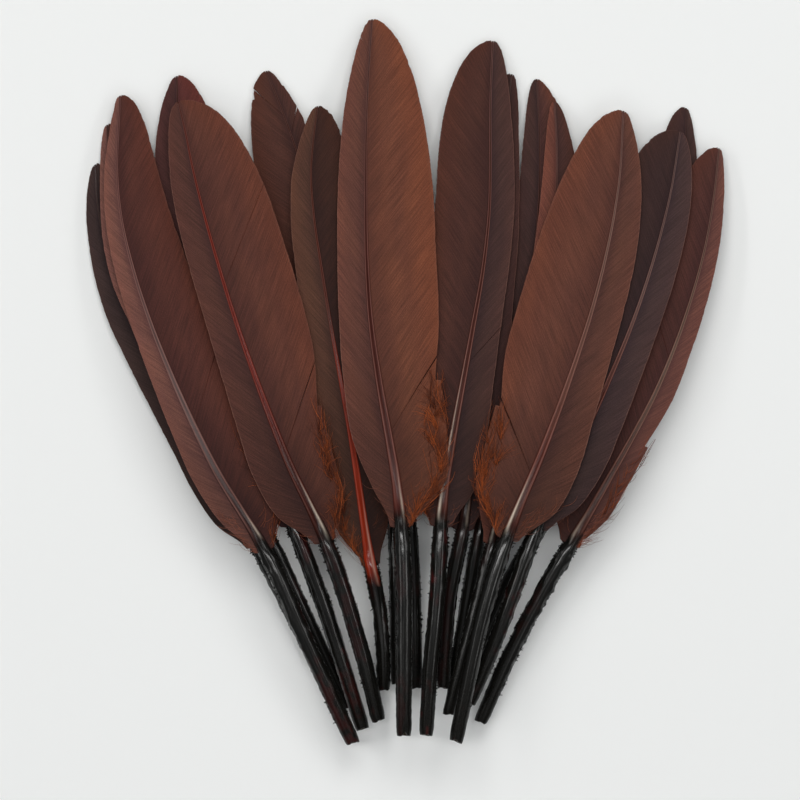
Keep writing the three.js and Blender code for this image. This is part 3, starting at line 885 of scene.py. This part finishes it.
class Nodes:
    """A material's node tree, with short calls for the nodes used here."""

    def __init__(self, name):
        self.material = bpy.data.materials.new(name)
        self.material.use_nodes = True
        self.tree = self.material.node_tree
        self.shader = next(n for n in self.tree.nodes if n.type == "BSDF_PRINCIPLED")

    def put(self, target, value):
        if isinstance(value, bpy.types.NodeSocket):
            self.tree.links.new(value, target)
        else:
            target.default_value = value

    def attribute(self, name, output):
        node = self.tree.nodes.new("ShaderNodeAttribute")
        node.attribute_name = name
        return node.outputs[output]

    def stretched(self, vector, scale):
        node = self.tree.nodes.new("ShaderNodeVectorMath")
        node.operation = "MULTIPLY"
        self.put(node.inputs[0], vector)
        node.inputs[1].default_value = scale
        return node.outputs[0]

    def noise(self, vector, scale, detail=2.0, roughness=0.5):
        node = self.tree.nodes.new("ShaderNodeTexNoise")
        self.put(node.inputs["Vector"], vector)
        node.inputs["Scale"].default_value = scale
        node.inputs["Detail"].default_value = detail
        node.inputs["Roughness"].default_value = roughness
        return node.outputs["Fac"]

    def ranged(self, value, low, high, to_low, to_high):
        node = self.tree.nodes.new("ShaderNodeMapRange")
        for i, v in enumerate((value, low, high, to_low, to_high)):
            self.put(node.inputs[i], v)
        return node.outputs[0]

    def math(self, operation, a, b):
        node = self.tree.nodes.new("ShaderNodeMath")
        node.operation = operation
        self.put(node.inputs[0], a)
        self.put(node.inputs[1], b)
        return node.outputs[0]

    def mixed(self, share, a, b, how="MIX"):
        node = self.tree.nodes.new("ShaderNodeMix")
        node.data_type = "RGBA"
        node.blend_type = how
        self.put(node.inputs["Factor"], share)
        self.put(node.inputs["A"], a)
        self.put(node.inputs["B"], b)
        return node.outputs["Result"]

    def scaled(self, colour, factor):
        """colour times a number that varies over the surface."""
        node = self.tree.nodes.new("ShaderNodeVectorMath")
        node.operation = "SCALE"
        self.put(node.inputs[0], colour)
        self.put(node.inputs["Scale"], factor)
        return node.outputs[0]

    def bump(self, height, strength, distance, below=None):
        node = self.tree.nodes.new("ShaderNodeBump")
        node.inputs["Strength"].default_value = strength
        node.inputs["Distance"].default_value = distance
        self.put(node.inputs["Height"], height)
        if below is not None:
            self.put(node.inputs["Normal"], below)
        return node.outputs[0]

    def finish(self, **sockets):
        for name, value in sockets.items():
            self.put(self.shader.inputs[name.replace("_", " ")], value)
        return self.material


def vane_material(name, sheen):
    """Satin barbs: streaks along them, a finer line to each, and hooked barbules between."""
    n = Nodes(name)
    grain = n.attribute("grain", "Vector")
    paint = n.attribute("paint", "Color")
    clumps = n.noise(n.stretched(grain, (0.55, 0.05, 1)), 1.0, 3.0, 0.55)
    lines = n.noise(n.stretched(grain, (3.1, 0.12, 1)), 1.0, 2.0, 0.6)
    barbules = n.noise(n.stretched(grain, (5.0, 2.6, 1)), 1.0, 1.0, 0.5)
    blotch = n.noise(n.stretched(grain, (0.07, 0.11, 1)), 1.0, 2.0, 0.5)
    tone = n.math("MULTIPLY", n.ranged(clumps, 0.3, 0.7, 0.9, 1.1), n.ranged(lines, 0.3, 0.7, 0.72, 1.28))
    tone = n.math("MULTIPLY", tone, n.ranged(barbules, 0.3, 0.7, 0.82, 1.18))
    tone = n.math("MULTIPLY", tone, n.ranged(blotch, 0.3, 0.7, 0.92, 1.08))
    hue = n.mixed(n.ranged(blotch, 0.35, 0.65, 0.0, 1.0), (0.99, 0.98, 1.02, 1), (1.02, 1.0, 0.97, 1))
    colour = n.mixed(1.0, n.scaled(paint, tone), hue, "MULTIPLY")
    height = n.math("ADD", lines, n.math("MULTIPLY", barbules, 0.5))
    return n.finish(
        Base_Color=colour,
        Roughness=n.ranged(lines, 0.3, 0.7, 0.52, 0.68),
        Specular_IOR_Level=0.09,
        Sheen_Weight=sheen,
        Sheen_Roughness=0.45,
        Normal=n.bump(height, 0.5, 0.0001),
    )


def shaft_material(name, roughness):
    """Keratin: glossy where it is clean, matte and speckled where it is worn or crusted."""
    n = Nodes(name)
    grain = n.attribute("grain", "Vector")
    paint = n.attribute("paint", "Color")
    signed = n.attribute("wear", "Fac")  # 1 where worn, 0 where glossy, -1 on the rachis
    wear = n.math("MAXIMUM", signed, 0.0)
    gloss = n.math(
        "MINIMUM",
        n.ranged(signed, 0.0, 1.0, 0.5, 0.12),
        n.ranged(signed, -1.0, 0.0, 0.08, 0.5),
    )
    streaks = n.noise(n.stretched(grain, (0.12, 2.2, 2.2)), 1.0, 3.0, 0.6)
    specks = n.noise(n.stretched(grain, (3.2, 4.5, 4.5)), 1.0, 2.0, 0.6)
    spots = n.math("MULTIPLY", n.ranged(specks, 0.6, 0.72, 0.0, 1.0), wear)
    colour = n.scaled(paint, n.ranged(streaks, 0.3, 0.7, 0.78, 1.22))
    colour = n.mixed(n.math("MULTIPLY", spots, 0.5), colour, (0.032, 0.028, 0.022, 1))
    rough = n.math("ADD", n.ranged(streaks, 0.3, 0.7, roughness - 0.05, roughness + 0.08),
                   n.math("MULTIPLY", wear, n.ranged(specks, 0.35, 0.65, 0.02, 0.16)))
    height = n.math("ADD", streaks, n.math("MULTIPLY", n.math("MULTIPLY", specks, wear), 1.6))
    return n.finish(
        Base_Color=colour,
        Roughness=rough,
        Specular_IOR_Level=gloss,
        Normal=n.bump(height, 0.25, 0.00009),
    )


def down_material(name):
    n = Nodes(name)
    grain = n.attribute("grain", "Vector")
    paint = n.attribute("paint", "Color")
    fuzz = n.noise(n.stretched(grain, (1.3, 0.9, 1)), 1.0, 2.0, 0.5)
    return n.finish(
        Base_Color=n.scaled(paint, n.ranged(fuzz, 0.3, 0.7, 0.7, 1.3)),
        Roughness=n.ranged(fuzz, 0.3, 0.7, 0.6, 0.85),
        Specular_IOR_Level=0.25,
        Normal=n.bump(fuzz, 0.3, 0.00005),
    )


MATERIALS = {
    "chestnut_vane": vane_material("chestnut_vane", 0.02),
    "russet_vane": vane_material("russet_vane", 0.02),
    "rosewood_vane": vane_material("rosewood_vane", 0.02),
    "plum_vane": vane_material("plum_vane", 0.03),
    "slate_vane": vane_material("slate_vane", 0.03),
    "black_shaft": shaft_material("black_shaft", 0.16),
    "red_shaft": shaft_material("red_shaft", 0.16),
    "down": down_material("down"),
}


# ---------------------------------------------------------------- the set

def add_light(name, place, aim, size, power, colour):
    data = bpy.data.lights.new(name, "AREA")
    data.shape = "RECTANGLE"
    data.size, data.size_y = size
    data.energy = power
    data.color = colour
    light = bpy.data.objects.new(name, data)
    light.location = place
    light.rotation_euler = (Vector(aim) - Vector(place)).to_track_quat("-Z", "Y").to_euler()
    bpy.context.scene.collection.objects.link(light)


def build_set():
    floor_mesh = bpy.data.meshes.new("table_top")
    reach = 4.0
    corners = [(-reach, -reach, 0), (reach, -reach, 0), (reach, reach, 0), (-reach, reach, 0)]
    floor_mesh.from_pydata(corners, [], [(0, 1, 2, 3)])
    n = Nodes("pale_table")
    floor_mesh.materials.append(n.finish(Base_Color=(0.91, 0.92, 0.915, 1), Roughness=0.7))
    floor = bpy.data.objects.new("table_top", floor_mesh)
    bpy.context.scene.collection.objects.link(floor)

    world = bpy.data.worlds.new("studio")
    world.use_nodes = True
    world.node_tree.nodes["Background"].inputs["Color"].default_value = (0.9, 0.95, 1.0, 1)
    world.node_tree.nodes["Background"].inputs["Strength"].default_value = 0.14
    bpy.context.scene.world = world

    # the overhead strip lies along the fan, so that each shaft carries a thin line of light along it
    add_light("overhead_strip", (-0.1, 0.1, 2.6), (0, 0.1, 0), (0.28, 2.0), 20, (1.0, 0.995, 0.985))
    add_light("top_softbox", (0.0, 1.15, 1.45), (0, 0, 0), (1.4, 0.8), 14, (1.0, 0.995, 0.98))
    add_light("foot_softbox", (0.0, -1.15, 1.45), (0, 0, 0), (1.4, 0.8), 3, (1.0, 0.995, 0.985))
    for name, x in (("left_strip", -1.15), ("right_strip", 1.15)):
        add_light(name, (x, 0.2, 1.2), (0, 0.2, 0), (1.9, 0.25), 4, (1.0, 0.99, 0.97))


def build_camera():
    """Straight above the fan and far off, so that it is seen almost without perspective."""
    low, high = CAD_BOX
    x = (low.x + high.x) / 2 + VIEW_SHIFT[0]
    y = (low.y + high.y) / 2 + VIEW_SHIFT[1]
    data = bpy.data.cameras.new("above")
    data.sensor_width = SENSOR
    data.lens = SENSOR * CAMERA_DISTANCE / VIEW_WIDTH
    data.clip_start, data.clip_end = 0.05, 50
    camera = bpy.data.objects.new("above", data)
    camera.location = (x, y, VIEW_HEIGHT + CAMERA_DISTANCE)
    bpy.context.scene.collection.objects.link(camera)
    bpy.context.scene.camera = camera


build_camera()
build_set()
bpy.context.scene.view_settings.view_transform = "Standard"
for quill_name in sorted(frame["bodies"]):
    quill = Quill(quill_name)
    build_shaft(quill, MATERIALS[SLOTS[f"{quill_name}_shaft"]])
    for kind in ("wide", "narrow"):
        build_vane(quill, kind, MATERIALS[SLOTS[f"{quill_name}_{kind}_vane"]])
    if quill.tuft:
        build_down(quill, MATERIALS["down"])
